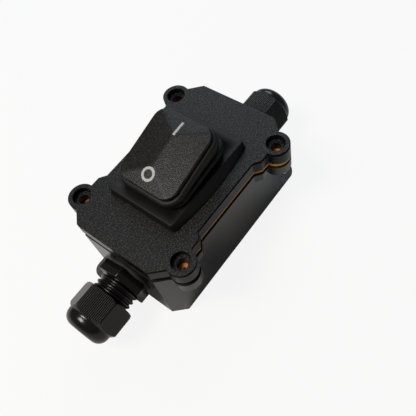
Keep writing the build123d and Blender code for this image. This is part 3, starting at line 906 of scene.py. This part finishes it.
def nut_section(angle, turn):
    """Outer radius of the nut's hexagon in a direction, with rounded corners and ribs on three faces,
    and how near the crest of a rib it is."""
    from_corner = angle - math.radians(turn)
    off = from_corner % HEX_FACE - HEX_FACE / 2
    half = NUT_FLATS / 2
    radius = half / math.cos(off)
    corner_centre = (half - NUT_CORNER) / math.cos(HEX_FACE / 2)
    away = HEX_FACE / 2 - abs(off)
    reach_angle = math.atan2(
        NUT_CORNER * math.sin(HEX_FACE / 2), corner_centre + NUT_CORNER * math.cos(HEX_FACE / 2))
    if away < reach_angle:
        across = corner_centre * math.sin(away)
        radius = corner_centre * math.cos(away) + math.sqrt(NUT_CORNER ** 2 - across ** 2)
    crest = 0.0
    place = half * math.tan(off)
    face_number = int(from_corner % (2 * math.pi) // HEX_FACE)
    if face_number % 2 == 0 and abs(place) < RIB_COUNT * RIB_PITCH / 2:
        crest = 0.5 - 0.5 * math.cos(2 * math.pi * place / RIB_PITCH)
        radius -= RIB_DEPTH * (1 - crest)
    return radius, crest


def dome_nut(end, turn, matrix):
    """Dome nut: ribbed hexagon that runs out into a round nose, hollow inside."""
    corner = NUT_FLATS / math.sqrt(3)
    side_start = (NUT_START + NUT_CORNER, corner)
    side_end = (NUT_SHOULDER - NUT_SHOULDER_RUN, corner)
    outer = [
        (NUT_START, corner - NUT_CORNER),
        (NUT_START + NUT_RIM[0], corner - NUT_RIM[1]),
        side_start,
        *line(side_start, side_end, NUT_SIDE_STEPS),
        *line(side_end, (NUT_SHOULDER, NOSE_RADIUS), NUT_SHOULDER_STEPS),
    ]
    nose_centre = (NOSE_RADIUS - NOSE_ROUND, NUT_END - NOSE_ROUND)
    outer += [(height, radius) for radius, height in arc(nose_centre, NOSE_ROUND, 0, 90, NUT_NOSE_STEPS)]
    inner = [
        (NUT_END, NUT_MOUTH + NUT_MOUTH_BEVEL), (NUT_END - NUT_MOUTH_BEVEL, NUT_MOUTH),
        (NUT_CONE_END, NUT_MOUTH), (NUT_CONE_START, NUT_BORE), (NUT_START, NUT_BORE),
    ]
    sections = [(angle, *nut_section(angle, turn)) for angle in round_angles(NUT_AROUND)]
    points = []
    crests = []
    for height, limit in outer:
        for angle, section, crest in sections:
            points.append(round_point(min(limit, section), angle, height))
            # strength of the painted highlight on the crests
            crests.append(crest ** CREST_SHARPNESS if section <= limit else 0.0)
    for height, radius in inner:
        points += circle(NUT_AROUND, radius, height)
    crests += [0.0] * (len(points) - len(crests))
    faces = grid_faces(len(outer) + len(inner), NUT_AROUND, close_rows=True)
    nut = mesh_piece(f"gland_{end}_nut_ribbed", points, faces, matrix)
    outward_faces(nut)
    nut.data.attributes.new(CREST, "FLOAT", "POINT").data.foreach_set("value", crests)
    return nut


for end, side in (("near", -1), ("far", 1)):
    place = gland_frame(side)
    screwed_in, nut_angle = NUT_AS_LEFT[end]
    body = gland_body(end, place)
    finish_piece(body, gland_nylon, "case")
    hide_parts(f"gland_body_{end}")
    nut = dome_nut(end, nut_angle, place @ raised(-screwed_in))
    finish_piece(nut, gland_nylon, f"nut_{end}")
    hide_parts(f"gland_dome_nut_{end}")


# Stage, light and camera


def white_over(tree, lit, white, to_camera, output):
    """Shows a plain white shader over a lit one, to the rays that see it by camera, gloss or glass."""
    path = tree.nodes.new("ShaderNodeLightPath").outputs
    by_gloss = calculate(tree, "MAXIMUM", path["Is Glossy Ray"], path["Is Transmission Ray"])
    mixed = tree.nodes.new("ShaderNodeMixShader")
    fill(tree, mixed, {
        "Fac": calculate(
            tree, "MAXIMUM", calculate(tree, "MULTIPLY", path["Is Camera Ray"], to_camera),
            calculate(tree, "MULTIPLY", by_gloss, WHITE_IN_GLOSS)),
        1: lit,
        2: white,
    })
    fill(tree, tree.nodes[output], {"Surface": mixed.outputs["Shader"]})


def white_stage(name):
    """Pale matt surface that shows as white with a faint shadow, and lights the scene as matt white."""
    material, tree, shader = new_material(name)
    fill(tree, shader, {
        "Base Color": FLOOR_TONE, "Roughness": FLOOR_ROUGHNESS, "Specular IOR Level": 0.0})
    white = tree.nodes.new("ShaderNodeEmission")
    fill(tree, white, {"Color": (1, 1, 1), "Strength": 1.0})
    white_over(tree, shader.outputs["BSDF"], white.outputs["Emission"], WHITE_TO_CAMERA, "Material Output")
    return material


def studio_world():
    """Dim room, warm on one side and cool on the other, which the camera sees as white."""
    world = bpy.data.worlds.new("studio")
    bpy.context.scene.world = world
    world.use_nodes = True
    tree = world.node_tree
    side = spread(tree, part_along(tree, coordinates(tree, "Generated"), "X"), ROOM_TURN, UNIT)
    room = tree.nodes["Background"]
    fill(tree, room, {"Color": two_tone(tree, side, ROOM_WARM, ROOM_COOL), "Strength": ROOM_STRENGTH})
    backdrop = tree.nodes.new("ShaderNodeBackground")
    fill(tree, backdrop, {"Color": BACKDROP_TONE})
    white_over(tree, room.outputs["Background"], backdrop.outputs["Background"], 1.0, "World Output")


def aim(holder, place, target, roll=0.0):
    """Puts a lamp or camera at a place and turns it to a target."""
    holder.location = place
    holder.rotation_mode = "QUATERNION"
    looking = (Vector(target) - Vector(place)).to_track_quat("-Z", "Y")
    holder.rotation_quaternion = looking @ Matrix.Rotation(math.radians(roll), 3, "Z").to_quaternion()


corners = ((-1, -1), (1, -1), (1, 1), (-1, 1))
floor = mesh_piece("floor", [(x * FLOOR_HALF, y * FLOOR_HALF, 0) for x, y in corners], [(0, 1, 2, 3)])
floor.data.materials.append(white_stage("floor_white"))

studio_world()

for name, (place, size, power, colour) in LAMPS.items():
    lamp = bpy.data.lights.new(name, "AREA")
    lamp.size = size
    lamp.energy = power
    lamp.color = colour
    aim(add_object(name, lamp), place, LAMP_TARGET)

camera_data = bpy.data.cameras.new("camera")
camera_data.lens = CAMERA_LENS
camera_data.sensor_width = CAMERA_SENSOR
camera_data.clip_start = CAMERA_CLIP_START
camera = add_object("camera", camera_data)
aim(camera, CAMERA_PLACE, CAMERA_TARGET, CAMERA_ROLL)
bpy.context.scene.camera = camera

bpy.context.scene.view_settings.view_transform = "Standard"
